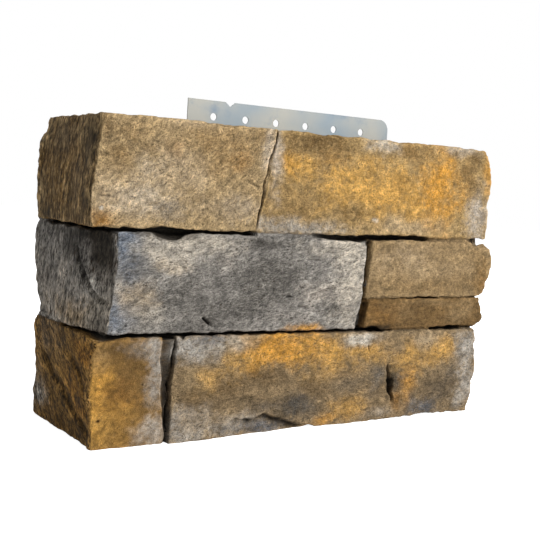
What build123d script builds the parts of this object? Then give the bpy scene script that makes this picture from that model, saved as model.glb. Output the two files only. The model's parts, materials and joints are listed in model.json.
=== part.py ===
from build123d import *

import os

# Ledger stone veneer corner: one concrete casting that looks like three courses of hewn ledge stones
# turning an outside corner, with a perforated steel nailing strip cast into its back.
#
# Modelling frame: X runs along the long face from the outer corner, Y runs from the stone faces to
# the back, Z is up. At the end everything is moved so that the origin is the bottom centre of the part.

# Overall sizes of the casting, in millimetres, from the outer corner.
panel_height = 203.2
face_length = 320.0
return_depth = 100.0
wall_thickness = 47.0

# Courses and bed joints. A bed falls from the outer corner to the free end.
course_count = 3
joint_depth = 12.0
upper_bed_joint = 2.6
upper_bed_fall = 0.8
lower_bed_joint = 2.2
lower_bed_fall = 3.6
split_bed_joint = 1.4
split_bed_height = 22.0

# Upright joints, from the outer corner to the middle of the joint at its foot and at its head.
upper_joint_foot = 113.5
upper_joint_head = 121.5
upper_joint_width = 1.5
middle_joint_foot = 202.5
middle_joint_head = 206.0
middle_joint_width = 2.8
lower_joint_foot = 50.0
lower_joint_head = 48.6
lower_joint_width = 4.4

# Stones: the hewn edge, and how far a stone stays clear of the back and stands out past the core.
edge_break = 0.9
stone_back_cover = 5.0
end_overhang = 5.0

# The broken corner of the middle stone, row by row from foot to head: along the face and along the return.
broken_corner = [(8.8, 44.0), (10.0, 40.0), (11.0, 20.0), (12.5, 30.0), (11.5, 34.0)]

# Lap at the foot of the back, which clears the strip of the panel below and its screw heads.
lap_clearance = 3.0
lap_screw_room = 5.0

# Nailing strip.
strip_length = 173.0
strip_start = 77.0
strip_rise = 18.4
strip_embedment = 24.0
strip_gauge = 0.9
strip_cover = 3.5
strip_end_radius = 8.0
hole_count = 6
hole_pitch = 25.4
hole_diameter = 5.0
hole_rise = 7.5
first_hole = 20.0
notch_width = 7.6
notch_depth = 3.2

# Worked out from the sizes above.
course_height = panel_height / course_count
stone_back = wall_thickness - stone_back_cover
core_end = face_length - end_overhang
core_return_end = return_depth - end_overhang
strip_back = wall_thickness - strip_cover
strip_front = strip_back - strip_gauge
sharp_corner = [(edge_break, edge_break)] * len(broken_corner)


def between(start, end, share):
    return start + (end - start) * share


def bed(height, fall=0.0):
    """A bed line, as its height at each X: it falls by that much over the length of the face."""
    return lambda x: height + fall * (0.5 - x / face_length)


def layers(rows, foot, head):
    """Rows from foot to head, each with its share of the height and how far it is pulled in.

    The first and the last row come twice, because the hewn edges pull in there.
    """
    edge = edge_break / (head(0) - foot(0))
    steps = len(rows) - 1
    inner = [(between(edge, 1 - edge, i / steps), row, 0.0) for i, row in enumerate(rows)]
    return [(0.0, rows[0], edge_break), *inner, (1.0, rows[-1], edge_break)]


def hewn_solid(foot, head, outlines):
    """A solid through plan outlines, each given as its share of the height from foot to head and its points."""
    rings = []
    for share, points in outlines:
        ring = [(x, y, between(foot(x), head(x), share)) for x, y in points]
        rings.append(Wire.make_polygon(ring))
    return Solid.make_loft(rings, ruled=True)


def face_stone(foot, head, left, right, relief, end_relief):
    """A stone that shows on the long face alone.

    left and right are its ends, each as X at the foot and X at the head. relief holds rows from
    foot to head, each with the bulges of the face, evenly spaced from left to right. end_relief
    holds the bulge of the right end in each row.
    """
    outlines = []
    for share, (bulges, end_bulge), pulled_in in layers(list(zip(relief, end_relief)), foot, head):
        x_left = between(*left, share) + pulled_in
        x_right = between(*right, share) + end_bulge - pulled_in
        last = len(bulges) - 1
        face = []
        for i, bulge in enumerate(bulges):
            x = between(x_left + edge_break, x_right - edge_break, i / last)
            face.append((x, pulled_in - bulge))
        left_edge = (x_left, pulled_in - bulges[0] + edge_break)
        right_edge = (x_right, pulled_in - bulges[-1] + edge_break)
        back = [(x_right, stone_back), (x_left, stone_back)]
        outlines.append((share, [left_edge, *face, right_edge, *back]))
    return hewn_solid(foot, head, outlines)


def corner_stone(foot, head, right, corner_breaks, return_relief, front_relief):
    """A stone that turns the outer corner.

    return_relief runs from the free end of the return to the corner, and front_relief from the
    corner to the right end, which is given as X at the foot and X at the head. corner_breaks holds,
    for each row, how much of the corner is broken off along the face and along the return.
    """
    outlines = []
    rows = list(zip(corner_breaks, return_relief, front_relief))
    for share, ((face_break, return_break), side_bulges, front_bulges), pulled_in in layers(rows, foot, head):
        y_end = return_depth - pulled_in
        x_right = between(*right, share) - pulled_in
        corner_x = pulled_in + face_break - side_bulges[-1]
        corner_y = pulled_in + return_break - front_bulges[0]
        side_last = len(side_bulges) - 1
        front_last = len(front_bulges) - 1
        side = []
        for i, bulge in enumerate(side_bulges):
            y = between(y_end - edge_break, corner_y, i / side_last)
            side.append((pulled_in - bulge, y))
        front = []
        for i, bulge in enumerate(front_bulges):
            x = between(corner_x, x_right - edge_break, i / front_last)
            front.append((x, pulled_in - bulge))
        end_edge = (pulled_in - side_bulges[0] + edge_break, y_end)
        right_edge = (x_right, pulled_in - front_bulges[-1] + edge_break)
        back = [(x_right, stone_back), (stone_back, stone_back), (stone_back, y_end)]
        outlines.append((share, [end_edge, *side, *front, right_edge, *back]))
    return hewn_solid(foot, head, outlines)


def joint_sides(at_foot, at_head, width):
    """The two sides of an upright joint, each as X at the foot and X at the head."""
    left = (at_foot - width / 2, at_head - width / 2)
    right = (at_foot + width / 2, at_head + width / 2)
    return left, right


def upper_course():
    foot = bed(2 * course_height, upper_bed_fall)
    head = bed(panel_height)
    left_of_joint, right_of_joint = joint_sides(upper_joint_foot, upper_joint_head, upper_joint_width)
    corner = corner_stone(
        foot,
        head,
        left_of_joint,
        sharp_corner,
        return_relief=[
            [3.6, 3.4, 4.3],
            [4.4, 3.6, 3.6],
            [4.5, 4.0, 2.4],
            [2.2, 2.6, 1.2],
            [-2.5, 0.0, 0.0],
        ],
        front_relief=[
            [0.0, 1.0, 0.5, 0.0],
            [0.5, 0.2, 1.5, 0.5],
            [1.0, -0.5, 1.0, 1.0],
            [0.5, 0.4, 0.2, 0.5],
            [0.0, 0.5, 0.0, -0.5],
        ],
    )
    long_stone = face_stone(
        foot,
        head,
        right_of_joint,
        (face_length, face_length),
        relief=[
            [0.0, 0.5, 1.0, 0.6, 0.5],
            [0.5, 1.5, 0.8, 1.5, 1.0],
            [0.5, 2.0, 1.5, 0.9, 1.0],
            [0.5, 0.9, 1.6, 0.5, 0.0],
            [-0.5, 0.0, 0.0, -0.5, -2.0],
        ],
        end_relief=[1.0, 1.0, 0.6, 2.2, -3.0],
    )
    return [corner, long_stone]


def middle_course():
    foot = bed(course_height + lower_bed_joint / 2, lower_bed_fall)
    head = bed(2 * course_height - upper_bed_joint, upper_bed_fall)
    split_foot = bed(course_height + split_bed_height)
    split_head = bed(course_height + split_bed_height + split_bed_joint)
    left_of_joint, right_of_joint = joint_sides(middle_joint_foot, middle_joint_head, middle_joint_width)
    free_end = (face_length, face_length)
    corner = corner_stone(
        foot,
        head,
        left_of_joint,
        broken_corner,
        return_relief=[
            [-0.4, 0.4, 1.4],
            [2.4, 1.0, 1.0],
            [3.6, 1.2, -0.6],
            [4.4, 1.6, 0.0],
            [3.4, 1.3, 0.0],
        ],
        front_relief=[
            [-1.0, 0.0, 0.6, 0.0, -1.5],
            [-0.5, 0.6, 0.2, 0.5, -0.5],
            [0.0, -0.5, 0.5, 1.0, 0.5],
            [0.0, -1.0, 0.2, 0.4, 0.6],
            [-0.5, -0.8, -0.5, 0.2, -0.5],
        ],
    )
    thick_stone = face_stone(
        split_head,
        head,
        right_of_joint,
        free_end,
        relief=[
            [1.5, 2.0, 2.0, 1.5],
            [2.5, 3.0, 2.6, 3.0],
            [3.0, 2.8, 3.5, 3.0],
            [2.5, 2.4, 3.0, 2.0],
            [1.5, 1.6, 1.0, 0.0],
        ],
        end_relief=[0.0, 3.8, 7.0, 6.0, -1.0],
    )
    thin_stone = face_stone(
        foot,
        split_foot,
        right_of_joint,
        free_end,
        relief=[
            [2.0, 1.5, 1.5, 0.5],
            [2.5, 2.6, 2.0, 2.0],
            [3.0, 2.4, 2.6, 2.0],
            [2.5, 2.0, 2.4, 1.5],
            [1.5, 2.0, 1.5, 1.0],
        ],
        end_relief=[-2.0, 1.5, 2.5, 1.8, 1.0],
    )
    return [corner, thick_stone, thin_stone]


def lower_course():
    foot = bed(0.0)
    head = bed(course_height - lower_bed_joint / 2, lower_bed_fall)
    left_of_joint, right_of_joint = joint_sides(lower_joint_foot, lower_joint_head, lower_joint_width)
    corner = corner_stone(
        foot,
        head,
        left_of_joint,
        sharp_corner,
        return_relief=[
            [0.4, 0.2, -0.5],
            [1.6, 1.4, 1.0],
            [1.8, 1.2, 1.2],
            [1.8, 1.6, 0.8],
            [2.0, 0.8, 0.5],
        ],
        front_relief=[
            [-0.5, 0.0, 0.0],
            [1.0, 0.5, 0.6],
            [1.5, 1.1, 0.5],
            [1.0, 0.8, 0.0],
            [0.5, 0.0, -1.0],
        ],
    )
    long_stone = face_stone(
        foot,
        head,
        right_of_joint,
        (face_length, face_length),
        relief=[
            [0.0, 0.5, -1.5, 0.5, -0.5, -1.0],
            [1.0, 1.5, 0.5, 1.2, 0.5, 0.0],
            [1.0, 0.9, 1.5, 1.4, 1.0, 0.5],
            [0.5, 1.5, 2.0, 1.2, 1.1, 0.0],
            [-1.5, 0.5, 1.5, 1.0, 0.0, -0.5],
        ],
        end_relief=[-6.0, -1.8, -1.2, -1.8, -3.8],
    )
    return [corner, long_stone]


def joint_core():
    """The L-shaped body behind the stones, which shows only at the bottom of the joints and at the back."""
    with BuildPart() as core:
        with BuildSketch():
            with BuildLine():
                Polyline(
                    (joint_depth, joint_depth),
                    (core_end, joint_depth),
                    (core_end, wall_thickness),
                    (wall_thickness, wall_thickness),
                    (wall_thickness, core_return_end),
                    (joint_depth, core_return_end),
                    close=True,
                )
            make_face()
        extrude(amount=panel_height)
    return core.part


def lap_rebate():
    """The room at the foot of the back for the strip of the panel below."""
    depth = strip_cover + strip_gauge + lap_screw_room
    height = strip_rise + lap_clearance
    corner_point = (wall_thickness, wall_thickness - depth, 0)
    return Pos(*corner_point) * Box(face_length, depth, height, align=(Align.MIN, Align.MIN, Align.MIN))


def embedded_strip():
    """The stretch of the strip that lies in the casting."""
    corner_point = (strip_start, strip_front, panel_height - strip_embedment)
    size = (strip_length, strip_gauge, strip_embedment)
    return Pos(*corner_point) * Box(*size, align=(Align.MIN, Align.MIN, Align.MIN))


def nailing_strip():
    """The perforated strip: a row of nail holes, a notch that marks the pitch, one rounded corner."""
    top = panel_height + strip_rise
    foot = panel_height - strip_embedment
    end = strip_start + strip_length
    notch_middle = strip_start + first_hole + hole_pitch / 2
    hole_line = panel_height + hole_rise
    holes = [(strip_start + first_hole + i * hole_pitch, hole_line) for i in range(hole_count)]
    with BuildPart() as strip:
        with BuildSketch(Plane.XZ.offset(-strip_back)):
            with BuildLine():
                Polyline(
                    (strip_start, foot),
                    (end, foot),
                    (end, top),
                    (notch_middle + notch_width / 2, top),
                    (notch_middle, top - notch_depth),
                    (notch_middle - notch_width / 2, top),
                    (strip_start, top),
                    close=True,
                )
            outline = make_face()
            far_corner = outline.vertices().group_by(Axis.Z)[-1].sort_by(Axis.X)[-1]
            fillet(far_corner, radius=strip_end_radius)
            with Locations(*holes):
                Circle(hole_diameter / 2, mode=Mode.SUBTRACT)
        extrude(amount=strip_gauge)
    return strip.part


def cast_stone():
    casting = joint_core()
    for stone in [*upper_course(), *middle_course(), *lower_course()]:
        casting = casting + stone
    return casting - lap_rebate() - embedded_strip()


def main():
    pieces = {"cast_stone": cast_stone(), "nailing_strip": nailing_strip()}
    box = Compound(list(pieces.values())).bounding_box()
    to_origin = Pos(-box.center().X, -box.center().Y, -box.min.Z)
    os.makedirs("parts", exist_ok=True)
    for name, piece in pieces.items():
        export_step(to_origin * piece, f"parts/{name}.step")


main()
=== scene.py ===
"""Looks of a ledger stone veneer corner: hewn, stained concrete and a zinc-coated nailing strip.

Places are in millimetres from the outer corner, as in a drawing: X along the long face, Y to the back,
Z up. On the faces, U is X on the long face and minus Y on the return, so that U runs on round the corner.
"""

import json
import math

import bpy
import numpy as np
from mathutils import Matrix, Vector, noise


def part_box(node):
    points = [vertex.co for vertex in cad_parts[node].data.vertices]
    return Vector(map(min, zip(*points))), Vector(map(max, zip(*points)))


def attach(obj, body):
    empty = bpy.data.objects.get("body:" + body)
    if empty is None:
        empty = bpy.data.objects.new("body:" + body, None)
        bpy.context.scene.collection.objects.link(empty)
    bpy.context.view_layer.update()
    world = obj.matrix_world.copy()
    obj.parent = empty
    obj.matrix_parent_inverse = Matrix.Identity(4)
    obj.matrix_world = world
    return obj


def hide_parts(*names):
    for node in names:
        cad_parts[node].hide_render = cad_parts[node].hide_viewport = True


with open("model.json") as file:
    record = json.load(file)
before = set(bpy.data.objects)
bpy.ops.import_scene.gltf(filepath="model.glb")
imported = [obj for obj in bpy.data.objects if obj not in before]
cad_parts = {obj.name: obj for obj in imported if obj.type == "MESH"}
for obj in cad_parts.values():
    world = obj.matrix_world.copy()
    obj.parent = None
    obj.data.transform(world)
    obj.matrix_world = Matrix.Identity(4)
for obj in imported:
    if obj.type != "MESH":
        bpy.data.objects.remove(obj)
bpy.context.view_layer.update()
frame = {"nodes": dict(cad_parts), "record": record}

MM = 0.001

# Sizes that the frame is read by.
strip_start = 77.0
wall_thickness = 47.0
panel_height = 203.2
face_length = 320.0
return_depth = 100.0
joint_depth = 12.0

# Joints between the stones.
upper_bed = 135.0
upper_bed_fall = 0.8
lower_bed = 67.7
lower_bed_fall = 3.6
split_bed = 90.4
upper_joint = (113.5, 121.5)
upper_crack = (109.6, 123.0)
middle_joint = (202.5, 206.0)
lower_joint = (50.0, 48.6)

# The mesh of the casting: how fine it is, and the angle past which an edge is shaded as sharp.
voxel = 0.65
weld_distance = 0.001
triangle_budget = 185000
sharp_angle = math.radians(50)

# The room round the strip in the casting: filled before the hewing, and cut open again after it.
slot_filling = 0.3
slot_clearance = 0.02

# Depths behind the faces: the casting is hewn in full down to the first, and plain from the second on.
hewn_depth = 4
plain_depth = joint_depth + 2

# Steps from stone to stone in the noise, so that each stone has a pattern of its own.
relief_step = 131.7
wander_step = 37.0
grain_step = 411.0

strip_low, strip_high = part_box("nailing_strip")
back_face = next(m for m in frame["record"]["mounts"] if m["name"] == "back_face")
corner = np.array([
    strip_low.x - strip_start * MM,
    back_face["pos_m"][1] - wall_thickness * MM,
    0.0,
])

UPPER_CORNER, UPPER_LONG, GREY_CORNER, THICK, THIN, LOWER_CORNER, LOWER_LONG = range(7)

# Left, right, foot and head of each stone, in U and Z.
STONE_EDGES = {
    UPPER_CORNER: (-100, 117, 136, 203),
    UPPER_LONG: (118, 320, 136, 203),
    GREY_CORNER: (-100, 203, 69.5, 133),
    THICK: (206, 322, 91.5, 133),
    THIN: (205, 321, 68.5, 90),
    LOWER_CORNER: (-100, 47, 0, 67),
    LOWER_LONG: (52, 316, 0, 66),
}

# How the grain of each stone runs on the long face: its angle in degrees, its length against its width,
# its size and its strength.
GRAIN = {
    UPPER_CORNER: (35, 1.5, 1.0, 1.0),
    UPPER_LONG: (15, 1.2, 1.0, 0.8),
    GREY_CORNER: (18, 2.2, 1.0, 1.15),
    THICK: (10, 1.3, 1.0, 0.7),
    THIN: (5, 1.5, 1.0, 0.7),
    LOWER_CORNER: (40, 1.3, 0.9, 0.5),
    LOWER_LONG: (8, 1.5, 1.0, 0.9),
}

# The same on the return, where the grain is coarser; it is also stronger there, as painted light and shade
# of the relief on a side that the key lamp leaves unlit.
RETURN_GRAIN = GRAIN | {
    UPPER_CORNER: (84, 3.0, 1.8, 2.3),
    GREY_CORNER: (78, 2.6, 1.8, 2.2),
    LOWER_CORNER: (-42, 2.6, 1.8, 2.7),
}

# Edges that are broken back or run out: stone, side, middle and half length along that side, and shift.
EDGE_SHIFTS = [
    (GREY_CORNER, "head", 46, 17, -4.5),
    (GREY_CORNER, "head", 190, 40, -2.2),
    (GREY_CORNER, "right", 72, 16, -2.6),
    (UPPER_CORNER, "corner", 158, 36, -4.2),
    (UPPER_CORNER, "corner", 197, 30, -1.5),
    (LOWER_CORNER, "corner", 36, 26, -2.2),
    (UPPER_CORNER, "foot", 40, 12, 2.0),
    (UPPER_LONG, "foot", 225, 45, 1.2),
    (UPPER_LONG, "foot", 311, 7, 0.8),
    (THICK, "head", 215, 22, -1.2),
    (THICK, "head", 310, 8, -2.4),
    (THIN, "foot", 214, 10, 2.2),
    (THIN, "foot", 226, 8, -0.6),
    (THIN, "foot", 295, 20, 1.6),
    (LOWER_LONG, "left", 60, 27, 4.2),
    (LOWER_LONG, "left", 33, 14, 0.8),
    (LOWER_LONG, "left", 3, 14, -1.2),
    (LOWER_LONG, "head", 55, 6, -2.0),
    (LOWER_LONG, "foot", 265, 60, 1.6),
    (LOWER_LONG, "foot", 160, 7, 1.5),
    (LOWER_CORNER, "head", -2, 20, -2.8),
    (LOWER_CORNER, "right", 50, 22, -1.4),
    (LOWER_CORNER, "right", 5, 16, 1.1),
    (LOWER_CORNER, "foot", 34, 8, 1.2),
    (UPPER_CORNER, "head", 45, 42, 0.9),
    (UPPER_LONG, "head", 272, 46, 0.9),
    (UPPER_LONG, "right", 158, 16, -1.6),
    (THICK, "right", 102, 5, -2.6),
    (THICK, "right", 93, 4, 1.2),
    (THICK, "right", 127, 5, 1.4),
    (THIN, "right", 86, 4, -1.6),
    (THIN, "right", 73, 5, 1.0),
    (LOWER_LONG, "right", 20, 8, -1.4),
    (LOWER_LONG, "right", 58, 6, 1.0),
]

# Where two stones touch and all but close their joint: the joint's height, and how deep it is at places
# along the face. At the two ends the filling goes down into the core.
core = joint_depth + 1
bed_half_height = 2.6
CLOSED_BEDS = [
    (135.2, [(105, core), (111, 0.6), (150, 0.7), (196, core)]),
    (134.8, [(240, core), (268, 0.7), (300, 0.9), (306, 4), (318, 8), (319, core)]),
    (90.4, [(200, core), (207, 0.0), (236, -0.5), (246, core)]),
    (90.4, [(255, core), (276, 0.2), (300, 0.2), (317, 2.5), (317, core)]),
    (66.7, [(226, core), (232, -0.3), (268, 0.0), (277, core)]),
    (66.0, [(296, core), (303, 3), (315, 4), (316, core)]),
]

# The same along the return, from the outer corner.
CLOSED_RETURN_BEDS = [
    (69.2, [(48, core), (58, 0.0), (75, -0.9), (97, -1.6), (97, core)]),
    (135.2, [(80, core), (87, -2.0), (98, -3.2), (98, core)]),
]

# Upright joints that are partly filled: the joint, the filling's foot and head, half its width and how deep
# it lies.
FILLED_JOINTS = [
    (upper_joint, upper_bed + 1, panel_height, 1.6, -0.2),
    (middle_joint, lower_bed + 2, upper_bed - 2, 2.4, 4.0),
    (lower_joint, 0.0, lower_bed - 2, 5.0, 3.2),
]

# Lines of the larger marks, in U and Z.
CRACK = [(123, 204), (121, 192), (117, 179), (115, 165), (112.8, 152), (111.5, 145), (109.6, 137)]
SLIT = [(231.5, 41), (233, 34), (236, 24), (238.6, 16)]
BROKEN_LIP = [(108, 11), (116, 9), (124.5, 13.4), (133.6, 9), (146.5, 5), (156, 2)]
RETURN_GROOVE = [(-38, 121), (-31, 111), (-19, 101), (-14, 94), (-6, 90), (3, 89)]
LOWER_JOINT_GROOVE = [(49, 67), (48, 56), (50, 47), (48.5, 36), (50, 27), (48.5, 17), (50, 9), (49, 0)]

# Marks in the faces: a line in U and Z, how far it reaches to its left and to its right, and its height.
MARKS = [
    (CRACK, 0.8, 0.8, -2.4),
    ([*SLIT, (238.2, 12)], 1.6, 1.6, -4.0),
    ([(234, 31), (235, 27), (237, 19)], 3.4, 3.4, -4.0),
    (SLIT, 15, 15, -1.8),
    ([(48, 4), (84, 4)], 28, 28, 3.4),
    ([(-8, 4), (40, 4)], 22, 22, 1.6),
    ([(212, 57), (213, 52)], 1.2, 1.2, -1.5),
    (BROKEN_LIP, 0.8, 14, -3.2),
    ([(68, 21), (85, 23), (101, 24), (121, 23)], 5, 12, -1.3),
    ([(73, 79), (79, 75)], 1.2, 1.2, -3.2),
    ([(156, 94), (163, 95), (177, 100)], 0.9, 9, -1.4),
    ([(137, 92), (143, 92)], 0.9, 1.5, -1.4),
    ([(147, 86), (154, 85)], 1.0, 2.0, -1.3),
    ([(1, 154), (8, 155), (13, 159)], 1.2, 1.2, -0.9),
    ([(42, 169), (46, 168)], 0.9, 0.9, -0.9),
    ([(102, 169), (111, 165)], 1.2, 2.0, -1.1),
    ([(-90, 48), (-74, 37), (-53, 29), (-30, 17), (-6, 9)], 7, 3, -2.2),
    ([(-42, 53), (-23, 45), (-9, 35)], 6, 3, -1.8),
    (RETURN_GROOVE, 5, 2, -3.2),
    ([(-10, 101), (-8, 97)], 7, 7, 1.4),
    ([(-98, 188), (-98, 172)], 5, 5, 1.8),
    ([(-98, 200), (-98, 192)], 4, 4, -1.4),
    ([(4, 18), (5.5, 17.6)], 1.1, 1.1, -2.0),
    (LOWER_JOINT_GROOVE, 1.7, 1.7, -5.0),
    ([(203.4, 131), (204.6, 131)], 2.2, 2.2, -5.0),
]


def smoothstep(low, high, value):
    share = np.clip((value - low) / (high - low), 0.0, 1.0)
    return share * share * (3 - 2 * share)


def linear(red, green, blue):
    """A display colour of 0 to 255 as scene-linear values."""
    shares = np.array([red, green, blue]) / 255
    return np.where(shares <= 0.04045, shares / 12.92, ((shares + 0.055) / 1.055) ** 2.4)


def between(pair, share):
    return pair[0] + (pair[1] - pair[0]) * share


def stone_of(places):
    """Which of the seven stones each place belongs to."""
    x, z = places[:, 0], places[:, 2]
    upper = z > upper_bed + upper_bed_fall * (0.5 - x / face_length)
    lower = z < lower_bed + lower_bed_fall * (0.5 - x / face_length)
    stones = np.where(z > split_bed, THICK, THIN)
    in_middle = between(middle_joint, (z - lower_bed) / (upper_bed - lower_bed))
    stones = np.where(x < in_middle, GREY_CORNER, stones)
    in_upper = between(upper_crack, (z - upper_bed) / (panel_height - upper_bed))
    stones = np.where(upper, np.where(x < in_upper, UPPER_CORNER, UPPER_LONG), stones)
    in_lower = between(lower_joint, z / lower_bed)
    return np.where(lower, np.where(x < in_lower, LOWER_CORNER, LOWER_LONG), stones)


def per_stone(table, stones, column):
    """One column of a table by stone, at each place."""
    return np.array([table[stone][column] for stone in range(len(table))])[stones]


def fractal(points, height, size, octaves, seed=0):
    """Noise of about plus and minus that height, with features about that many millimetres across."""
    increment = 0.8
    lacunarity = 2.0
    scaled = (points + seed) / size
    return height * np.array([noise.fractal(p, increment, lacunarity, octaves) for p in scaled.tolist()])


def read_places(mesh):
    flat = np.zeros(len(mesh.vertices) * 3, np.float32)
    mesh.vertices.foreach_get("co", flat)
    return (flat.reshape(-1, 3).astype(float) - corner) / MM


def write_places(mesh, places):
    flat = (places * MM + corner).astype(np.float32).ravel()
    mesh.vertices.foreach_set("co", flat)
    mesh.update()


def read_normals(mesh):
    flat = np.zeros(len(mesh.vertices) * 3, np.float32)
    mesh.vertex_normals.foreach_get("vector", flat)
    return flat.reshape(-1, 3).astype(float)


def read_edges(mesh):
    flat = np.zeros(len(mesh.edges) * 2, np.int32)
    mesh.edges.foreach_get("vertices", flat)
    return flat.reshape(-1, 2)


def write_attribute(mesh, name, kind, values):
    attribute = mesh.attributes.new(name, kind, "POINT")
    field = {"FLOAT": "value", "FLOAT_VECTOR": "vector", "FLOAT_COLOR": "color"}[kind]
    attribute.data.foreach_set(field, values.astype(np.float32).ravel())


def smoothed(values, edges, rounds):
    """Values at the vertices, averaged with their neighbours that many times."""
    values = values if values.ndim == 2 else values[:, None]
    here = np.concatenate([edges[:, 0], edges[:, 1]])
    there = np.concatenate([edges[:, 1], edges[:, 0]])
    count = len(values)
    neighbours = np.maximum(np.bincount(here, minlength=count), 1)
    for _ in range(rounds):
        columns = [np.bincount(here, values[there, i], count) / neighbours for i in range(values.shape[1])]
        values = (values + np.stack(columns, 1)) / 2
    return values if values.shape[1] > 1 else values[:, 0]


def evaluated(thing):
    graph = bpy.context.evaluated_depsgraph_get()
    return bpy.data.meshes.new_from_object(thing.evaluated_get(graph))


def new_object(name, mesh):
    thing = bpy.data.objects.new(name, mesh)
    bpy.context.scene.collection.objects.link(thing)
    return thing


def apply_modifier(thing, kind, **settings):
    modifier = thing.modifiers.new(kind.lower(), kind)
    for name, value in settings.items():
        setattr(modifier, name, value)
    mesh = evaluated(thing)
    thing.modifiers.clear()
    thing.data = mesh


def combine(thing, other, operation):
    """Adds another object to a thing or cuts it away, and removes the other one."""
    apply_modifier(thing, "BOOLEAN", operation=operation, object=other, solver="MANIFOLD")
    bpy.data.objects.remove(other)


def prism(low_plan, high_plan, low, high):
    """A solid between two plans of as many points, in millimetres and anticlockwise from above."""
    count = len(low_plan)
    points = [(x, y, low) for x, y in low_plan] + [(x, y, high) for x, y in high_plan]
    faces = [tuple(reversed(range(count))), tuple(range(count, 2 * count))]
    for i in range(count):
        after = (i + 1) % count
        faces.append((i, after, after + count, i + count))
    mesh = bpy.data.meshes.new("prism")
    mesh.from_pydata([tuple(np.array(p) * MM + corner) for p in points], [], faces)
    return new_object("prism", mesh)


def strip_slot(margin):
    """Plan and foot of the slot that the strip stands in, with that margin round the strip."""
    low = (np.array(strip_low) - corner) / MM - margin
    high = (np.array(strip_high) - corner) / MM + margin
    plan = [(low[0], low[1]), (high[0], low[1]), (high[0], high[1]), (low[0], high[1])]
    return plan, low[2]


def touching_stones():
    """Solids that close the joints where two stones touch."""
    beds = list(CLOSED_BEDS)
    for height, depths in CLOSED_RETURN_BEDS:
        beds.append((height, [(depth, along) for along, depth in reversed(depths)]))
    for height, plan in beds:
        yield prism(plan, plan, height - bed_half_height, height + bed_half_height)
    for joint, foot, head, half, depth in FILLED_JOINTS:
        plans = [[(x - half, depth), (x + half, depth), (x + half, core), (x - half, core)] for x in joint]
        yield prism(*plans, foot, head)


def outward(places):
    """The way out of the faces at each place: along the face, the return and the two free ends."""
    end_reach = 10
    end_full = 3
    x, y = places[:, 0], places[:, 1]
    face = smoothstep(plain_depth, hewn_depth, y)
    side = smoothstep(plain_depth, hewn_depth, x)
    right_end = smoothstep(face_length - end_reach, face_length - end_full, x)
    far_end = smoothstep(return_depth - end_reach, return_depth - end_full, y)
    return np.stack([right_end - side, far_end - face, np.zeros(len(x))], 1)


def unrolled(places):
    """U, Z and the depth behind the faces."""
    x, y, z = places.T
    return x - y, z, np.minimum(x, y)


def line_reach(u, z, points):
    """Distance to a line of points, plus on its left and minus on its right.

    With it comes a share that fades out at the two ends of the line.
    """
    fade = 0.2
    past_end = 0.08
    best = np.full(len(u), np.inf)
    signed = np.full(len(u), np.inf)
    along = np.zeros(len(u))
    steps = len(points) - 1
    for i in range(steps):
        (u0, z0), (u1, z1) = points[i], points[i + 1]
        du, dz = u1 - u0, z1 - z0
        share = np.clip(((u - u0) * du + (z - z0) * dz) / (du * du + dz * dz), 0, 1)
        off_u, off_z = u - u0 - share * du, z - z0 - share * dz
        distance = np.hypot(off_u, off_z)
        nearer = distance < best
        best = np.where(nearer, distance, best)
        signed = np.where(nearer, np.where(du * off_z - dz * off_u >= 0, distance, -distance), signed)
        along = np.where(nearer, (i + share) / steps, along)
    ends = smoothstep(0, fade, along + past_end) * smoothstep(1, 1 - fade, along - past_end)
    return signed, ends


def marks(places, wobble):
    """The height that the listed marks give to each place."""
    u, z, depth = unrolled(places)
    u = u + wobble
    height = np.zeros(len(u))
    for points, left, right, mark_height in MARKS:
        line = np.array(points)
        reach = max(left, right)
        low, high = line.min(0) - reach, line.max(0) + reach
        near = (u > low[0]) & (u < high[0]) & (z > low[1]) & (z < high[1]) & (depth < joint_depth)
        signed, ends = line_reach(u[near], z[near], points)
        profile = np.where(signed >= 0, smoothstep(left, 0, signed), smoothstep(right, 0, -signed))
        height[near] += mark_height * profile * ends
    return height


def edge_shifts(places, stones):
    """How far the broken edges move each place, along X and Z."""
    edge_reach = 10
    return_stretch = 5
    moved_in_full = 5
    left_in_place = joint_depth + 3
    u, z, depth = unrolled(places)
    near_face = smoothstep(left_in_place, moved_in_full, depth)
    round_corner = np.where(u < 0, -u / return_stretch, u)
    shift = np.zeros_like(places)
    for stone, side, middle, half, amount in EDGE_SHIFTS:
        left, right, foot, head = STONE_EDGES[stone]
        inside = {
            "left": u - left,
            "right": right - u,
            "foot": z - foot,
            "head": head - z,
            "corner": round_corner,
        }[side]
        upright = side in ("left", "right", "corner")
        along = z if upright else u
        share = smoothstep(half, 0, np.abs(along - middle)) * smoothstep(edge_reach, 0, inside)
        share = share * (stones == stone) * near_face
        shift[:, 0 if upright else 2] += amount * share
    return shift


def faces_left(normals):
    """1 where the surface belongs to the return and 0 where it belongs to the long face."""
    return smoothstep(0.35, 0.6, -normals[:, 0])


def grain_places(places, stones, normals):
    """Places along and across the grain of each stone, in millimetres of its width, and its strength.

    Behind the faces the whole casting has one faint grain.
    """
    wander = {"height": 1.2, "size": 9, "octaves": 2}
    back_strength = 0.4
    u, z, depth = unrolled(places)
    behind = depth > joint_depth + 1
    stones = np.where(behind, LOWER_LONG, stones)
    on_return = (faces_left(normals) > 0.5) & ~behind
    angle, length, size, strength = (
        np.where(on_return, per_stone(RETURN_GRAIN, stones, column), per_stone(GRAIN, stones, column))
        for column in range(4)
    )
    angle = np.radians(angle)
    own = places + stones[:, None] * wander_step
    u = u + fractal(own, **wander)
    z = z + fractal(own, **wander, seed=70)
    along = (u * np.cos(angle) + z * np.sin(angle)) / length
    across = z * np.cos(angle) - u * np.sin(angle)
    strength = strength * np.where(behind, back_strength, 1.0)
    grain = np.stack([along, across, depth], 1) / size[:, None] + stones[:, None] * grain_step
    return grain, strength


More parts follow.
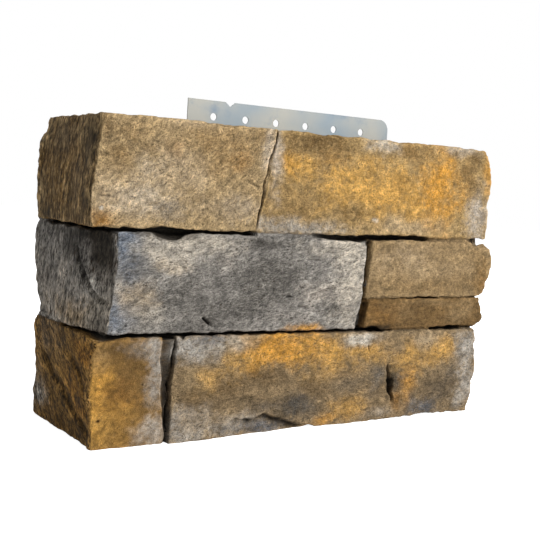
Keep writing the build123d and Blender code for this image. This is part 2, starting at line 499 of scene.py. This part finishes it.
def ragged_edges(places, own, way_out):
    """How far the fine line of the edges strays, across the way out of the faces."""
    foot_drop = 0.5
    foot_reach = 8
    foot_full = 2
    out = np.abs(way_out)
    ragged = np.stack([
        fractal(own, height=1.0, size=11, octaves=4, seed=800) * out[:, 1],
        fractal(own, height=1.0, size=11, octaves=4, seed=850) * out[:, 0],
        fractal(own, height=1.0, size=9, octaves=4, seed=870) * out.max(1),
    ], 1)
    ragged[:, 2] -= foot_drop * smoothstep(foot_reach, foot_full, places[:, 2])
    return ragged


def hew(mesh):
    """Gives the casting its split faces, broken edges and grain."""
    chip_depth = 2.0
    head_rise = 0.8
    places = read_places(mesh)
    edges = read_edges(mesh)
    stones = stone_of(places)
    normals = smoothed(read_normals(mesh), edges, rounds=4)
    normals /= np.linalg.norm(normals, axis=1, keepdims=True)
    raised = np.sum((places - smoothed(places, edges, rounds=14)) * normals, axis=1)
    way_out = outward(places)
    worked = np.abs(way_out).sum(1) > 0.001

    own = places[worked] + stones[worked, None] * relief_step
    grain, _ = grain_places(places[worked], stones[worked], normals[worked])
    swell = fractal(own, height=1.0, size=45, octaves=2)
    lumps = fractal(own, height=0.6, size=17, octaves=3, seed=300)
    strokes = fractal(grain, height=0.25, size=4.5, octaves=3)
    wobble = fractal(own, height=0.8, size=6, octaves=2, seed=600)
    height = swell + lumps + strokes + marks(places[worked], wobble)
    ragged = ragged_edges(places[worked], own, way_out[worked])

    chipped = smoothstep(0.1, 0.5, fractal(own, height=1.0, size=9, octaves=3, seed=900))
    chips = smoothstep(0.15, 0.5, raised[worked]) * chipped
    chips = chip_depth * chips[:, None] * normals[worked]
    shift = np.zeros_like(places)
    shift[worked] = way_out[worked] * height[:, None] + ragged - chips
    shift += edge_shifts(places, stones)
    places += smoothed(shift, edges, rounds=1)
    places[:, 2] = np.clip(places[:, 2], 0.0, panel_height + head_rise)
    write_places(mesh, places)


def dressed_casting():
    """A copy of the casting with all of its fine relief, which shows in its place."""
    casting = new_object("hewn_casting", frame["nodes"]["cast_stone"].data.copy())
    apply_modifier(casting, "WELD", merge_threshold=weld_distance * MM)
    plan, foot = strip_slot(slot_filling)
    combine(casting, prism(plan, plan, foot, panel_height), "UNION")
    for filler in touching_stones():
        combine(casting, filler, "UNION")
    apply_modifier(casting, "REMESH", mode="VOXEL", voxel_size=voxel * MM)
    hew(casting.data)
    casting.data.calc_loop_triangles()
    share = triangle_budget / len(casting.data.loop_triangles)
    apply_modifier(casting, "DECIMATE", ratio=min(1.0, share))
    plan, foot = strip_slot(slot_clearance)
    past_head = panel_height + 5
    combine(casting, prism(plan, plan, foot, past_head), "DIFFERENCE")
    casting.data.materials.clear()
    casting.data.shade_smooth()
    casting.data.set_sharp_from_angle(angle=sharp_angle)
    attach(casting, "root")
    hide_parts("cast_stone")
    return casting


# Pigments that the mould was dusted with, as display colours.
PIGMENTS = {
    "tan": (172, 147, 108),
    "sand": (172, 143, 96),
    "beige": (194, 171, 138),
    "cream": (198, 187, 170),
    "khaki": (157, 132, 95),
    "taupe": (138, 117, 87),
    "brown": (138, 106, 60),
    "bark": (119, 93, 57),
    "umber": (100, 76, 42),
    "rust": (158, 110, 46),
    "ochre": (208, 159, 80),
    "amber": (228, 178, 98),
    "orange": (216, 156, 65),
    "pale": (190, 178, 163),
    "ash": (172, 166, 157),
    "grey": (138, 133, 126),
    "dark_grey": (90, 86, 80),
    "charcoal": (62, 58, 53),
    "black": (30, 23, 12),
    "slate": (96, 99, 104),
    "blue": (124, 137, 154),
    "white": (236, 230, 218),
    "cement": (132, 126, 116),
}

# Dark pigments, which stay where they are put and let nothing of the ground show through; painted shade is
# laid in them too.
COVERING = ("black", "charcoal")

# The pigment that each stone has all over.
GROUND = {
    UPPER_CORNER: "tan",
    UPPER_LONG: "sand",
    GREY_CORNER: "grey",
    THICK: "khaki",
    THIN: "bark",
    LOWER_CORNER: "brown",
    LOWER_LONG: "taupe",
}

# Where the broken corner of the grey stone meets its long face, in U, and how far any return reaches in X.
broken_arris = 10
corner_reach = 30

# Where a stone lies back from the faces and keeps its pigment, with none of the joints' grime and painted
# shade:
# the head of the lower corner stone and the broken corner of the grey one, each as its middle and half
# widths in U and Z.
OPEN_PLACES = {
    LOWER_CORNER: (-14, 66, 30, 9),
    GREY_CORNER: (-10, 90, 40, 26),
}

# Stains, some of them painted shade and painted highlights, as pigment, middle in U and Z,
# half widths in U and Z, and strength.
STAINS_AND_PAINTED_LIGHT = {
    UPPER_CORNER: [
        ("beige", 16, 155, 34, 14, 0.95),
        ("beige", 44, 172, 14, 16, 0.6),
        ("beige", 60, 202, 20, 4, 0.5),
        ("beige", 58, 173, 14, 10, 0.7),
        ("cream", 28, 154, 16, 9, 0.45),
        ("cream", 31, 174, 10, 8, 0.35),
        ("pale", 99, 150, 14, 8, 0.35),
        ("brown", 10, 177, 10, 8, 0.35),
        ("brown", 16, 194, 14, 6, 0.35),
        ("grey", 45, 148, 10, 6, 0.6),
        ("brown", 84, 194, 26, 8, 0.45),
        ("brown", 86, 180, 20, 10, 0.5),
        ("rust", 48, 184, 6, 6, 0.3),
        ("rust", 95, 182, 9, 8, 0.35),
        ("rust", 0, 141, 10, 8, 0.7),
        ("pale", 116, 190, 5, 18, 0.6),
        ("grey", 76, 150, 22, 9, 0.2),
        ("umber", 9, 180, 6, 3, 0.6),
        ("umber", 21, 189, 6, 3, 0.5),
        ("umber", 30, 185, 6, 3, 0.5),
        ("umber", 1, 197, 4, 10, 0.6),
        ("rust", 1, 139, 5, 7, 0.6),
        ("white", 0.5, 147.5, 1.2, 1.0, 1.0),
        ("bark", -55, 170, 60, 50, 0.95),
        ("umber", -45, 190, 14, 16, 0.8),
        ("black", -15, 189, 13, 15, 0.75),
        ("black", -20, 166, 8, 11, 0.5),
        ("black", -5, 150, 5, 22, 0.5),
        ("umber", -62, 160, 16, 24, 0.8),
        ("umber", -94, 168, 12, 28, 0.8),
        ("umber", -38, 142, 18, 8, 0.6),
        ("black", -17, 151, 9, 11, 0.6),
        # Painted shadow along the foot of the return.
        ("black", -82, 140, 16, 7, 0.8),
        ("black", -30, 140, 16, 4, 0.4),
        ("umber", -86, 171, 12, 12, 0.5),
        ("charcoal", -60, 188, 24, 10, 0.4),
        ("charcoal", -36, 164, 10, 14, 0.35),
    ],
    UPPER_LONG: [
        ("brown", 140, 155, 28, 14, 0.4),
        ("umber", 139, 151, 8, 5, 0.3),
        ("ochre", 137, 181, 14, 11, 0.9),
        ("orange", 131, 184, 7, 9, 0.5),
        ("ochre", 202, 168, 38, 18, 1.0),
        ("orange", 215, 166, 14, 9, 0.3),
        ("amber", 204, 169, 24, 12, 0.7),
        ("rust", 166, 186, 12, 7, 0.3),
        ("brown", 229, 169, 8, 8, 0.3),
        ("brown", 150, 184, 7, 6, 0.3),
        ("ochre", 240, 160, 22, 12, 0.7),
        ("orange", 268, 170, 19, 28, 1.0),
        ("umber", 186, 151, 10, 5, 0.6),
        ("umber", 157, 198, 24, 8, 0.85),
        ("brown", 237, 197, 17, 7, 0.8),
        ("pale", 122, 184, 6, 24, 0.85),
        ("ash", 140, 139, 40, 6, 0.85),
        ("cream", 211, 200, 14, 6, 0.9),
        ("pale", 309, 156, 13, 20, 0.95),
        ("pale", 288, 201, 22, 5, 0.7),
        ("brown", 298, 182, 12, 12, 0.75),
        ("umber", 284, 198, 4, 3, 0.85),
        ("umber", 305, 197, 6, 5, 0.85),
        ("orange", 319, 188, 5, 14, 0.7),
        ("beige", 240, 143, 38, 7, 0.6),
        ("white", 208, 147, 2.5, 1.4, 0.7),
    ],
    GREY_CORNER: [
        ("dark_grey", 126, 107, 28, 13, 0.85),
        ("dark_grey", 111, 96, 20, 7, 0.7),
        ("dark_grey", 93, 84, 28, 9, 0.6),
        ("dark_grey", 52, 94, 17, 9, 0.8),
        ("dark_grey", 75, 73, 28, 4, 0.6),
        ("dark_grey", 179, 83, 14, 6, 0.8),
        ("dark_grey", 145, 128, 18, 6, 0.5),
        ("dark_grey", 69, 104, 16, 8, 0.45),
        ("dark_grey", 72, 82, 16, 7, 0.4),
        ("dark_grey", 108, 84, 22, 8, 0.6),
        ("dark_grey", 187, 82, 10, 6, 0.4),
        ("charcoal", 116, 128, 14, 4.5, 0.75),
        ("slate", 19, 112, 10, 12, 0.85),
        ("blue", 18, 125, 9, 10, 0.9),
        ("slate", 19, 125, 9, 10, 0.5),
        ("blue", 12, 81, 9, 12, 0.6),
        ("cream", 46, 120, 22, 9, 0.9),
        ("beige", 48, 113, 11, 5, 0.4),
        ("beige", 26, 92, 14, 9, 0.6),
        ("cream", 72, 126, 26, 7, 0.95),
        ("cream", 33, 126, 9, 6, 0.7),
        ("cream", 35, 82, 12, 8, 0.5),
        ("pale", 88, 116, 8, 6, 0.3),
        ("cream", 190, 107, 15, 28, 0.95),
        ("cream", 180, 126, 26, 7, 0.9),
        ("pale", 168, 93, 20, 8, 0.5),
        ("pale", 140, 78, 20, 5, 0.15),
        ("orange", 154, 70, 13, 3, 0.9),
        ("pale", -68, 88, 40, 22, 0.6),
        ("khaki", -30, 77, 44, 10, 0.7),
        ("pale", 0, 108, 14, 16, 0.6),
        ("cream", -3, 80, 18, 12, 0.8),
        # Painted shadow of the upper corner stone's overhang, along the head of the return.
        ("black", -28, 130, 50, 5, 0.8),
        # Painted shade along the crease of the broken corner.
        ("black", -44, 121, 14, 8, 0.8),
        ("black", -34, 114, 3, 8, 0.85),
        ("black", -24, 104, 3, 6, 0.85),
        ("black", -16, 96, 3, 4, 0.85),
        ("black", -6, 90, 7, 2, 0.85),
        # Painted highlight where the proud chunk of the broken corner catches the light.
        ("white", -9, 99, 7, 6, 0.9),
        ("charcoal", 0, 110, 26, 15, 0.55),
        # Painted shade in the hollow under the upper corner stone.
        ("black", 46, 133, 17, 4, 0.95),
        ("black", 76, 77, 4, 2.5, 0.6),
    ],
    THICK: [
        ("beige", 238, 122, 22, 8, 0.5),
        ("rust", 319, 99, 7, 11, 0.5),
        ("brown", 314, 112, 12, 15, 0.5),
        ("umber", 308, 103, 14, 9, 0.45),
        ("brown", 258, 101, 40, 8, 0.4),
        ("beige", 255, 110, 38, 8, 0.25),
    ],
    THIN: [
        ("rust", 220, 77, 18, 8, 0.3),
        # Painted shadow under the foot of the thin stone.
        ("black", 219, 69, 12, 3, 0.95),
        ("khaki", 280, 87, 36, 3, 0.4),
        ("khaki", 300, 80, 16, 7, 0.6),
        ("khaki", 238, 80, 16, 6, 0.3),
    ],
    LOWER_CORNER: [
        ("ochre", 4, 40, 9, 24, 0.95),
        ("orange", 4, 40, 8, 24, 0.4),
        ("ochre", 12, 15, 20, 14, 0.75),
        ("umber", 5, 18, 2, 1.5, 0.8),
        ("rust", 16, 32, 12, 12, 0.6),
        ("umber", 20, 55, 18, 10, 0.6),
        ("ash", 42, 47, 7, 18, 0.85),
        ("ash", 41, 62, 9, 7, 0.7),
        ("ash", 31, 61, 10, 7, 0.5),
        ("tan", 4, 57, 8, 8, 0.45),
        ("umber", 15, 37, 9, 9, 0.4),
        ("umber", 20, 12, 8, 8, 0.5),
        ("pale", 39, 8, 12, 10, 0.95),
        # Dark line down the joint between the lower stones: grime and painted shade.
        ("charcoal", 49.5, 34, 2.2, 60, 0.9),
        ("umber", -50, 18, 60, 22, 0.4),
        ("black", -72, 22, 8, 6, 0.4),
        ("black", -16, 5, 12, 5, 0.5),
        ("rust", -16, 56, 14, 9, 0.8),
        ("rust", -30, 36, 16, 10, 0.7),
        ("rust", -16, 24, 10, 8, 0.6),
        ("ash", -90, 21, 12, 14, 0.4),
        # Painted shade along the two grooves of the return.
        ("black", -82, 43, 10, 4, 0.6),
        ("black", -62, 33, 11, 4, 0.6),
        ("black", -40, 22, 11, 4, 0.6),
        ("black", -16, 12, 11, 5, 0.7),
        ("black", -32, 49, 9, 4, 0.5),
        ("black", -15, 40, 8, 5, 0.5),
        ("black", -19, 46, 9, 8, 0.6),
        ("black", -50, 20, 10, 5, 0.35),
        ("black", -16, 26, 8, 8, 0.55),
        ("ash", -91, 17, 12, 11, 0.9),
        ("dark_grey", -78, 58, 24, 12, 0.6),
    ],
    LOWER_LONG: [
        ("ash", 66, 59, 20, 9, 0.95),
        ("slate", 80, 65, 13, 3, 0.8),
        ("ash", 62, 11, 24, 12, 0.9),
        ("ash", 98, 8, 18, 7, 0.6),
        # Dark line down the joint and on the flank beside it: grime and painted shade.
        ("charcoal", 50.5, 34, 2.2, 60, 0.9),
        ("charcoal", 53, 58, 3, 14, 0.8),
        ("ash", 63, 59, 10, 7, 0.7),
        ("ash", 80, 61, 9, 5, 0.55),
        ("taupe", 67, 13, 12, 7, 0.55),
        ("taupe", 89, 15, 12, 7, 0.5),
        ("tan", 72, 40, 12, 10, 0.6),
        ("ochre", 81, 39, 9, 9, 0.5),
        ("umber", 69, 29, 9, 5, 0.6),
        ("umber", 98, 33, 12, 6, 0.5),
        ("ochre", 108, 50, 16, 10, 0.8),
        ("orange", 128, 58, 20, 10, 0.95),
        ("cream", 101, 62, 11, 5, 0.7),
        ("rust", 111, 44, 8, 6, 0.45),
        ("orange", 150, 57, 22, 10, 0.85),
        ("ochre", 182, 54, 26, 10, 0.9),
        ("ochre", 177, 41, 22, 8, 0.45),
        ("ochre", 212, 52, 14, 9, 0.7),
        ("cream", 203, 61, 16, 5, 1.0),
        ("white", 203, 61, 12, 4, 0.4),
        ("umber", 124, 39, 15, 6, 0.5),
        ("umber", 165, 28, 16, 6, 0.4),
        ("dark_grey", 196, 31, 12, 6, 0.4),
        ("dark_grey", 150, 17, 15, 9, 0.9),
        ("charcoal", 147, 17, 10, 7, 0.6),
        ("slate", 122, 4, 20, 5, 0.9),
        ("dark_grey", 121, 17, 12, 5, 0.6),
        ("ochre", 193, 12, 14, 9, 0.7),
        ("orange", 174, 4, 12, 5, 0.6),
        ("ash", 222, 6, 13, 4, 0.4),
        ("dark_grey", 222, 31, 9, 10, 0.85),
        ("dark_grey", 242, 28, 6, 9, 0.8),
        ("orange", 250, 24, 7, 12, 0.7),
        ("dark_grey", 255, 13, 9, 7, 0.65),
        ("ochre", 252, 45, 20, 10, 0.7),
        ("beige", 270, 58, 14, 7, 0.8),
        ("ochre", 284, 50, 14, 10, 0.8),
        ("dark_grey", 295, 31, 9, 7, 0.6),
        ("charcoal", 283, 19, 16, 12, 0.6),
        ("slate", 270, 8, 14, 7, 0.9),
        # Painted shade in the slit.
        ("black", 232, 36, 2, 5, 0.4),
        ("black", 234.5, 26, 5, 9, 1.0),
        ("rust", 241, 14, 4, 6, 0.6),
        # Painted shadow under the broken lip.
        ("black", 112, 9.5, 7, 1.8, 0.7),
        ("black", 122, 11, 5, 1.8, 0.8),
        ("black", 135, 9, 8, 2.2, 0.85),
        ("black", 147, 4, 8, 2, 0.6),
        ("ash", 307, 51, 11, 14, 0.9),
        ("ash", 311, 27, 8, 14, 0.8),
        ("ash", 305, 12, 8, 8, 0.7),
    ],
}


def pigments_and_painted_light(places, stones, u, on_return):
    """The pigment at each place, painted shade and highlights included, and the ground that shows through
    it.
    """
    z = places[:, 2]
    drift_u = fractal(places, height=0.6, size=20, octaves=5, seed=40)
    drift_z = fractal(places, height=0.6, size=20, octaves=5, seed=80)
    powder = fractal(places, height=0.4, size=3, octaves=2, seed=120)
    full_at = 0.1
    gone_at = 1.6
    grounds = np.array([linear(*PIGMENTS[GROUND[stone]]) for stone in range(len(GROUND))])[stones]
    colours = grounds.copy()
    for stone, stone_paints in STAINS_AND_PAINTED_LIGHT.items():
        own = stones == stone
        tone, base = colours[own], grounds[own]
        arris = broken_arris if stone == GREY_CORNER else 0
        for pigment, middle_u, middle_z, half_u, half_z, strength in stone_paints:
            loose = 0 if pigment in COVERING else 1
            along = (u[own] - middle_u) / half_u + loose * drift_u[own]
            across = (z[own] - middle_z) / half_z + loose * drift_z[own]
            side = on_return[own] if middle_u < arris else 1 - on_return[own]
            share = strength * side * smoothstep(gone_at, full_at, np.hypot(along, across) + powder[own])
            tone += (linear(*PIGMENTS[pigment]) - tone) * share[:, None]
            if pigment in COVERING:
                base += (linear(*PIGMENTS[pigment]) - base) * share[:, None]
        colours[own], grounds[own] = tone, base
    return colours, grounds


def joint_grime_and_shade(places, stones, u):
    """The share of black at each place, grime and painted shade together: none on the faces, and most deep
    in the joints.
    """
    darkest = 0.85
    end_margin = 8
    head_margin = 2
    x, y, z = places.T
    _, _, depth = unrolled(places)
    inside = (x < face_length - end_margin) & (y < return_depth - end_margin)
    inside &= z < panel_height - head_margin
    behind_faces = smoothstep(2, 5, depth)
    before_core = smoothstep(joint_depth + 4, joint_depth + 1, depth)
    grime_and_shade = darkest * inside * behind_faces * before_core
    for stone, (middle_u, middle_z, half_u, half_z) in OPEN_PLACES.items():
        open_share = smoothstep(1, 0.6, np.hypot((u - middle_u) / half_u, (z - middle_z) / half_z))
        grime_and_shade = grime_and_shade * (1 - open_share * (stones == stone))
    return grime_and_shade


def paint(mesh):
    """Stains the stones, paints some shade and highlights on them, and stores what the material needs at
    each vertex.
    """
    places = read_places(mesh)
    stones = stone_of(places)
    edges = read_edges(mesh)
    normals = read_normals(mesh)
    soft_normals = smoothed(normals, edges, rounds=3)
    u, _, depth = unrolled(places)
    x = places[:, 0]
    on_return = faces_left(soft_normals) * (x < corner_reach)
    u = np.where(on_return > 0.5, u, x)

    bare = smoothstep(3, joint_depth, depth)
    # Black deep in the joints: grime and painted shade together.
    grime_and_shade = joint_grime_and_shade(places, stones, u)
    for name, tones in zip(("pigment", "ground"), pigments_and_painted_light(places, stones, u, on_return)):
        tones = between((tones, linear(*PIGMENTS["cement"])), bare[:, None])
        tones = between((tones, linear(*PIGMENTS["black"])), grime_and_shade[:, None])
        write_attribute(mesh, name, "FLOAT_COLOR", np.column_stack([tones, np.ones(len(tones))]))

    # How far each vertex stands out of its neighbours, for painted shade in hollows and painted light on
    # ridges.
    raised = np.sum((places - smoothed(places, edges, rounds=6)) * normals, axis=1) * (1 - bare)
    write_attribute(mesh, "raised", "FLOAT", raised)
    grain, strength = grain_places(places, stones, soft_normals)
    write_attribute(mesh, "grain", "FLOAT_VECTOR", grain)
    write_attribute(mesh, "grain_strength", "FLOAT", strength)


def make_camera():
    """The camera of the photograph, which stands left of the corner and is tilted a little."""
    stand = np.array([-222.5, -527.4, 164.8]) * MM + corner
    yaw, pitch, roll = (math.radians(a) for a in (33.18, -4.92, 3.48))
    forward = Vector((math.sin(yaw) * math.cos(pitch), math.cos(yaw) * math.cos(pitch), math.sin(pitch)))
    right = Vector((math.cos(yaw), -math.sin(yaw), 0))
    up = right.cross(forward)
    rolled_right = right * math.cos(roll) + up * math.sin(roll)
    rolled_up = up * math.cos(roll) - right * math.sin(roll)
    turn = Matrix((rolled_right, rolled_up, -forward)).transposed()
    data = bpy.data.cameras.new("camera")
    data.sensor_width = 36
    data.lens = 63.3
    camera = bpy.data.objects.new("camera", data)
    camera.matrix_world = Matrix.Translation(stand) @ turn.to_4x4()
    bpy.context.scene.collection.objects.link(camera)
    bpy.context.scene.camera = camera


def add_node(tree, kind, inputs=None, **settings):
    node = tree.nodes.new(kind)
    for name, value in settings.items():
        setattr(node, name, value)
    for name, value in (inputs or {}).items():
        if isinstance(value, bpy.types.NodeSocket):
            tree.links.new(value, node.inputs[name])
        else:
            node.inputs[name].default_value = value
    return node


def new_material(name):
    material = bpy.data.materials.new(name)
    material.use_nodes = True
    tree = material.node_tree
    return material, tree, tree.nodes["Principled BSDF"]


def combined(tree, operation, first, second):
    return add_node(tree, "ShaderNodeMath", {0: first, 1: second}, operation=operation).outputs[0]


def product(tree, *factors):
    result = factors[0]
    for factor in factors[1:]:
        result = combined(tree, "MULTIPLY", result, factor)
    return result


def ranged(tree, value, span, result):
    """The value with one span of it, from low to high, turned into another."""
    low, high = span
    to_low, to_high = result
    inputs = {"Value": value, "From Min": low, "From Max": high, "To Min": to_low, "To Max": to_high}
    return add_node(tree, "ShaderNodeMapRange", inputs).outputs[0]


def mixed(tree, share, first, second):
    """A mix of two colours, of which the second takes that share."""
    node = add_node(tree, "ShaderNodeMix", {"Factor": share}, data_type="RGBA")
    for name, colour in (("A", first), ("B", second)):
        socket = next(s for s in node.inputs if s.name == name and s.type == "RGBA")
        if isinstance(colour, bpy.types.NodeSocket):
            tree.links.new(colour, socket)
        else:
            socket.default_value = (*colour, 1)
    return next(s for s in node.outputs if s.type == "RGBA")


def noise_field(tree, place, scale, detail, roughness):
    inputs = {"Vector": place, "Scale": scale, "Detail": detail, "Roughness": roughness}
    return add_node(tree, "ShaderNodeTexNoise", inputs).outputs["Fac"]


def stored(tree, name, output):
    """What paint has stored at the vertices under that name."""
    return add_node(tree, "ShaderNodeAttribute", attribute_name=name).outputs[output]


def stone_value(tree, relief, patches, blotches, strength):
    """How much lighter or darker than its pigment the stone is: by its grain, in patches, and by painted
    shade and light.
    """
    # Painted light and shade of the grain's relief: lighter on its highs and darker in its lows, the more
    # so on the return.
    contrast = product(tree, ranged(tree, relief, (0.36, 0.64), (-0.65, 0.7)), strength)
    shade = combined(tree, "MAXIMUM", combined(tree, "ADD", contrast, 1.0), 0.25)
    broad = ranged(tree, patches, (0.3, 0.7), (0.78, 1.24))
    mottle = product(tree, broad, ranged(tree, blotches, (0.3, 0.7), (1.4, 0.68)))
    coarse = combined(tree, "MAXIMUM", product(tree, strength, 0.7), 1.0)
    mottle = combined(tree, "POWER", mottle, coarse)
    # Painted shade in the hollows and painted light on the ridges.
    hollow_shade_and_ridge_light = ranged(tree, stored(tree, "raised", "Fac"), (-0.5, 0.25), (0.3, 1.2))
    return product(tree, shade, mottle, hollow_shade_and_ridge_light)


def stone_colour(tree, value, strokes, blotches):
    """The pigment, with the ground showing through in blotches and strokes, at that value."""
    ground = stored(tree, "ground", "Color")
    pigment = stored(tree, "pigment", "Color")
    pigment = mixed(tree, ranged(tree, blotches, (0.52, 0.64), (0, 0.4)), pigment, ground)
    pigment = mixed(tree, ranged(tree, strokes, (0.53, 0.64), (0, 0.45)), pigment, ground)
    return add_node(tree, "ShaderNodeVectorMath", {0: pigment, 1: value}, operation="MULTIPLY").outputs[0]


def stone_material():
    material, tree, shader = new_material("stained_concrete_with_painted_light_and_shade")
    place = stored(tree, "grain", "Vector")
    strength = stored(tree, "grain_strength", "Fac")
    strokes = noise_field(tree, place, scale=0.65, detail=4, roughness=0.75)
    grit = noise_field(tree, place, scale=1.8, detail=2, roughness=0.6)
    patches = noise_field(tree, place, scale=0.11, detail=3, roughness=0.6)
    blotches = noise_field(tree, place, scale=0.28, detail=5, roughness=0.7)
    cells = add_node(tree, "ShaderNodeTexVoronoi", {"Vector": place, "Scale": 0.5}).outputs["Distance"]
    pitted = ranged(tree, patches, (0.46, 0.6), (0, 1))
    pits = product(tree, ranged(tree, cells, (0.1, 0.32), (1, 0)), pitted)

    relief = combined(tree, "ADD", product(tree, strokes, 0.6), product(tree, grit, 0.4))
    relief = combined(tree, "SUBTRACT", relief, product(tree, pits, 0.1))
    bump = add_node(tree, "ShaderNodeBump", {"Height": relief, "Strength": 1.0, "Distance": 2.2 * MM})
    tree.links.new(bump.outputs[0], shader.inputs["Normal"])

    value = stone_value(tree, relief, patches, blotches, strength)
    colour = stone_colour(tree, value, strokes, blotches)
    pit_colour = linear(62, 48, 32)
    pit_share = product(tree, pits, product(tree, strength, 0.5))
    colour = mixed(tree, pit_share, colour, pit_colour)
    tree.links.new(colour, shader.inputs["Base Color"])
    shader.inputs["Roughness"].default_value = 0.92
    shader.inputs["Specular IOR Level"].default_value = 0.2
    return material


def zinc_material():
    material, tree, shader = new_material("dull_zinc")
    place = add_node(tree, "ShaderNodeTexCoord").outputs["Object"]
    cloud = noise_field(tree, place, scale=45, detail=5, roughness=0.65)
    smear = noise_field(tree, place, scale=18, detail=3, roughness=0.5)
    cool, warm, blue = linear(126, 136, 142), linear(150, 149, 142), linear(104, 119, 134)
    colour = mixed(tree, ranged(tree, smear, (0.4, 0.6), (0, 1)), cool, warm)
    colour = mixed(tree, ranged(tree, cloud, (0.55, 0.72), (0, 0.7)), colour, blue)
    tree.links.new(colour, shader.inputs["Base Color"])
    shader.inputs["Metallic"].default_value = 0.6
    shader.inputs["Roughness"].default_value = 0.6
    return material


def seen_directly(tree):
    """1 for rays that show the backdrop, seen or mirrored, and 0 for rays that light the object."""
    path = add_node(tree, "ShaderNodeLightPath").outputs
    seen = combined(tree, "MAXIMUM", path["Is Camera Ray"], path["Is Glossy Ray"])
    return combined(tree, "MAXIMUM", seen, path["Is Transmission Ray"])


def white_backdrop_world(ambient):
    """A world that shows white, but lights the object only with that strength."""
    world = bpy.data.worlds.new("studio")
    bpy.context.scene.world = world
    world.use_nodes = True
    tree = world.node_tree
    background = tree.nodes["Background"]
    background.inputs["Color"].default_value = (1, 1, 1, 1)
    strength = ranged(tree, seen_directly(tree), (0, 1), (ambient, 1.0))
    tree.links.new(strength, background.inputs["Strength"])


def pale_floor():
    """A floor that shows all but white, with a faint shadow."""
    reach = 4.0
    glow = 0.93
    mesh = bpy.data.meshes.new("floor")
    corners = [(-reach, -reach, 0), (reach, -reach, 0), (reach, reach, 0), (-reach, reach, 0)]
    mesh.from_pydata(corners, [], [(0, 1, 2, 3)])
    plane = new_object("floor", mesh)
    material, tree, shader = new_material("pale_floor")
    shader.inputs["Base Color"].default_value = (0.8, 0.8, 0.8, 1)
    shader.inputs["Roughness"].default_value = 1.0
    shader.inputs["Specular IOR Level"].default_value = 0.0
    shader.inputs["Emission Color"].default_value = (1, 1, 1, 1)
    tree.links.new(product(tree, seen_directly(tree), glow), shader.inputs["Emission Strength"])
    plane.data.materials.append(material)


def area_light(name, place, size, power):
    """A round lamp that points at the middle of the part."""
    target = (0, 0, 0.1)
    data = bpy.data.lights.new(name, "AREA")
    data.shape = "DISK"
    data.size = size
    data.energy = power
    lamp = bpy.data.objects.new(name, data)
    lamp.location = place
    lamp.rotation_mode = "QUATERNION"
    lamp.rotation_quaternion = (Vector(target) - Vector(place)).to_track_quat("-Z", "Y")
    bpy.context.scene.collection.objects.link(lamp)


bpy.context.scene.view_settings.view_transform = "Standard"
casting = dressed_casting()
paint(casting.data)
casting.data.materials.append(stone_material())
strip = frame["nodes"]["nailing_strip"]
strip.data.materials.clear()
strip.data.materials.append(zinc_material())
make_camera()
white_backdrop_world(ambient=0.17)
pale_floor()
area_light("key", place=(1.9, -2.75, 2.0), size=1.5, power=164)
area_light("back", place=(0.7, 1.3, 0.9), size=0.8, power=16)
